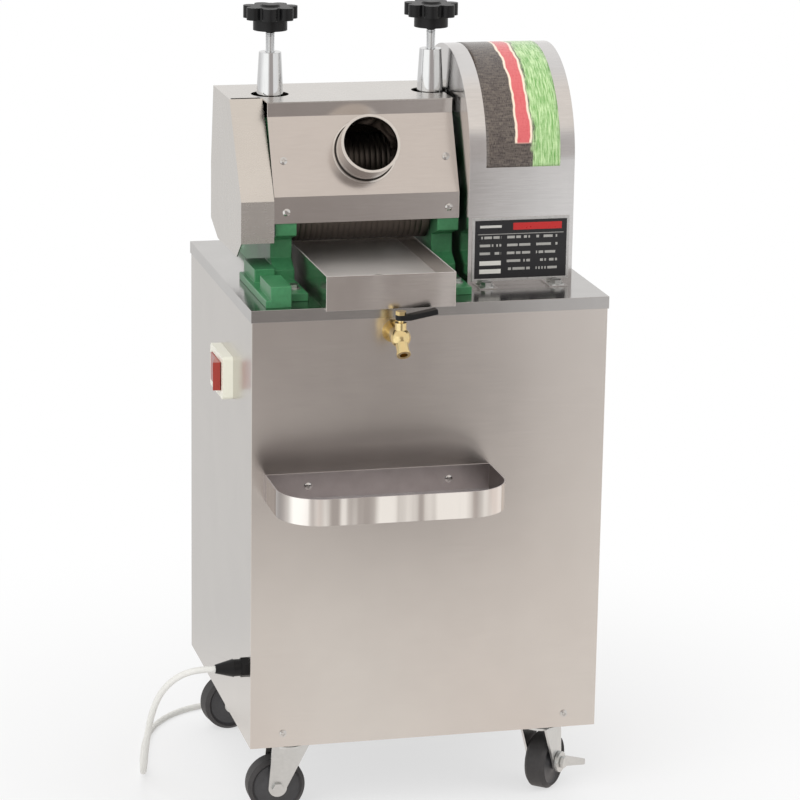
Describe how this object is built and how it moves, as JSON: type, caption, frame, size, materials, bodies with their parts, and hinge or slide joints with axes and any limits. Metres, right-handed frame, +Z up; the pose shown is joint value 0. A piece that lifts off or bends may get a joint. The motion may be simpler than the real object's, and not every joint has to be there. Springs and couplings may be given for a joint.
{
  "type": "electric sugarcane juicer",
  "caption": "Electric sugarcane juicer: a geared three-roller mill with a feed tube, pressure screws, juice tray and tap on a wheeled stainless cabinet with a cup shelf",
  "frame": {"origin": "On the floor, under the middle of the machine's box, cord apart", "axes": "+X to the machine's right as its user faces the front, +Y to the back, +Z up"},
  "size_m": [0.4861, 0.587, 0.845],
  "materials": {
    "stainless": "fine brushed stainless sheet",
    "bright_stainless": "bright polished stainless sheet",
    "galvanised": "dull galvanised sheet",
    "zinc": "bright zinc plate",
    "chrome": "polished plating",
    "green_iron": "glossy green enamel on rough castings",
    "bronze": "cast bearing bronze",
    "roller_steel": "turned stainless, finely grooved",
    "gear_iron": "machined cast iron, oiled",
    "belt_rubber": "matt belt rubber",
    "motor_paint": "hammered grey blue paint",
    "brass": "turned and tumbled brass",
    "black_plastic": "moulded black plastic with a soft sheen",
    "switch_ivory": "moulded ivory plastic",
    "rocker_red": "moulded red plastic",
    "cord_white": "pale flexible sheath",
    "plate_black": "black enamel on aluminium",
    "caster_rubber": "dark grey rubber"
  },
  "bodies": {
    "cabinet": {"front_panel": "stainless", "back_panel": "stainless", "left_side_panel": "stainless", "right_side_panel": "stainless", "top_plate": "stainless", "cup_shelf": "bright_stainless", "juice_tray": "bright_stainless", "roller_cover": "bright_stainless", "feed_plate": "bright_stainless", "feed_tube": "bright_stainless", "gear_guard": "bright_stainless", "bagasse_chute": "bright_stainless", "base_plate": "galvanised", "drain_pipe": "galvanised", "panel_screws": "zinc", "hex_bolts": "zinc", "caster_plates": "zinc", "press_sleeves": "chrome", "mill_frame_left": "green_iron", "mill_frame_right": "green_iron", "lower_bushes": "bronze", "top_bearing_blocks": "bronze", "v_belt": "belt_rubber", "motor": "motor_paint", "gearbox": "motor_paint", "tap_body": "brass", "cable_gland": "black_plastic", "switch_box": "switch_ivory", "power_cord": "cord_white", "cord_coil": "cord_white", "mains_plug": "cord_white", "nameplate": "plate_black"},
    "top_roll": {"top_roller": "roller_steel", "top_gear": "gear_iron", "driven_pulley": "gear_iron"},
    "front_roll": {"front_roller": "roller_steel", "front_gear": "gear_iron"},
    "rear_roll": {"rear_roller": "roller_steel", "rear_gear": "gear_iron"},
    "drive": {"drive_pulley": "gear_iron"},
    "tap_valve": {"tap_stem": "brass", "tap_lever": "black_plastic"},
    "switch_rocker": {"rocker": "rocker_red"},
    "pad_left": {"press_pad_left": "roller_steel"},
    "pad_right": {"press_pad_right": "roller_steel"},
    "screw_left": {"press_screw_left": "chrome", "knob_left": "black_plastic"},
    "screw_right": {"press_screw_right": "chrome", "knob_right": "black_plastic"},
    "swivel_fl": {"caster_fork_fl": "zinc"},
    "swivel_fr": {"caster_fork_fr": "zinc"},
    "swivel_rl": {"caster_fork_rl": "zinc"},
    "swivel_rr": {"caster_fork_rr": "zinc"},
    "wheel_fl": {"caster_wheel_fl": "caster_rubber"},
    "wheel_fr": {"caster_wheel_fr": "caster_rubber"},
    "wheel_rl": {"caster_wheel_rl": "caster_rubber"},
    "wheel_rr": {"caster_wheel_rr": "caster_rubber"},
    "brake": {"brake_pedal": "zinc"}
  },
  "joints": [
    {"name": "top_roll_turn", "type": "hinge", "parent": "cabinet", "child": "top_roll", "pos_m": [-0.0311, 0.0562, 0.677], "axis": [1, 0, 0], "continuous": true},
    {"name": "front_roll_turn", "type": "hinge", "parent": "cabinet", "child": "front_roll", "pos_m": [-0.0311, 0.0212, 0.62827], "axis": [1, 0, 0], "continuous": true},
    {"name": "rear_roll_turn", "type": "hinge", "parent": "cabinet", "child": "rear_roll", "pos_m": [-0.0311, 0.0912, 0.62827], "axis": [1, 0, 0], "continuous": true},
    {"name": "drive_turn", "type": "hinge", "parent": "cabinet", "child": "drive", "pos_m": [0.1151, 0.0562, 0.167], "axis": [1, 0, 0], "continuous": true},
    {"name": "tap_turn", "type": "hinge", "parent": "cabinet", "child": "tap_valve", "pos_m": [-0.0246, -0.1538, 0.532], "axis": [0, 0, 1], "range_deg": [-90, 0]},
    {"name": "switch_rock", "type": "hinge", "parent": "cabinet", "child": "switch_rocker", "pos_m": [-0.1804, 0.0112, 0.463], "axis": [0, 0, 1], "range_deg": [0, 16]},
    {"name": "pad_left_lift", "type": "slide", "parent": "cabinet", "child": "pad_left", "axis": [0, 0, 1], "range_m": [-0.00225, 0.003]},
    {"name": "screw_left_turn", "type": "hinge", "parent": "pad_left", "child": "screw_left", "pos_m": [-0.1181, 0.0562, 0.759], "axis": [0, 0, 1], "range_deg": [-540, 720]},
    {"name": "pad_right_lift", "type": "slide", "parent": "cabinet", "child": "pad_right", "axis": [0, 0, 1], "range_m": [-0.00225, 0.003]},
    {"name": "screw_right_turn", "type": "hinge", "parent": "pad_right", "child": "screw_right", "pos_m": [0.0559, 0.0562, 0.759], "axis": [0, 0, 1], "range_deg": [-540, 720]},
    {"name": "swivel_fl_turn", "type": "hinge", "parent": "cabinet", "child": "swivel_fl", "pos_m": [-0.1236, -0.0838, 0.078], "axis": [0, 0, 1], "continuous": true},
    {"name": "wheel_fl_roll", "type": "hinge", "parent": "swivel_fl", "child": "wheel_fl", "pos_m": [-0.1376, -0.0838, 0.031], "axis": [0, -1, 0], "continuous": true},
    {"name": "swivel_fr_turn", "type": "hinge", "parent": "cabinet", "child": "swivel_fr", "pos_m": [0.1564, -0.0838, 0.078], "axis": [0, 0, 1], "continuous": true},
    {"name": "wheel_fr_roll", "type": "hinge", "parent": "swivel_fr", "child": "wheel_fr", "pos_m": [0.1654, -0.07308, 0.031], "axis": [-0.766, 0.6428, 0], "continuous": true},
    {"name": "brake_press", "type": "hinge", "parent": "swivel_fr", "child": "brake", "pos_m": [0.1654, -0.07308, 0.031], "axis": [-0.766, 0.6428, 0], "range_deg": [0, 20]},
    {"name": "swivel_rl_turn", "type": "hinge", "parent": "cabinet", "child": "swivel_rl", "pos_m": [-0.1236, 0.1802, 0.078], "axis": [0, 0, 1], "continuous": true},
    {"name": "wheel_rl_roll", "type": "hinge", "parent": "swivel_rl", "child": "wheel_rl", "pos_m": [-0.13739, 0.17777, 0.031], "axis": [0.1736, -0.9848, 0], "continuous": true},
    {"name": "swivel_rr_turn", "type": "hinge", "parent": "cabinet", "child": "swivel_rr", "pos_m": [0.1564, 0.1802, 0.078], "axis": [0, 0, 1], "continuous": true},
    {"name": "wheel_rr_roll", "type": "hinge", "parent": "swivel_rr", "child": "wheel_rr", "pos_m": [0.14371, 0.17428, 0.031], "axis": [0.4226, -0.9063, 0], "continuous": true}
  ],
  "couplings": [
    {"joint": "front_roll_turn", "follows": "top_roll_turn", "ratio": -1},
    {"joint": "rear_roll_turn", "follows": "top_roll_turn", "ratio": -1},
    {"joint": "drive_turn", "follows": "top_roll_turn", "ratio": 2.5},
    {"joint": "pad_left_lift", "follows": "screw_left_turn", "m_per_rad": 0.00023873},
    {"joint": "pad_right_lift", "follows": "screw_right_turn", "m_per_rad": 0.00023873}
  ]
}
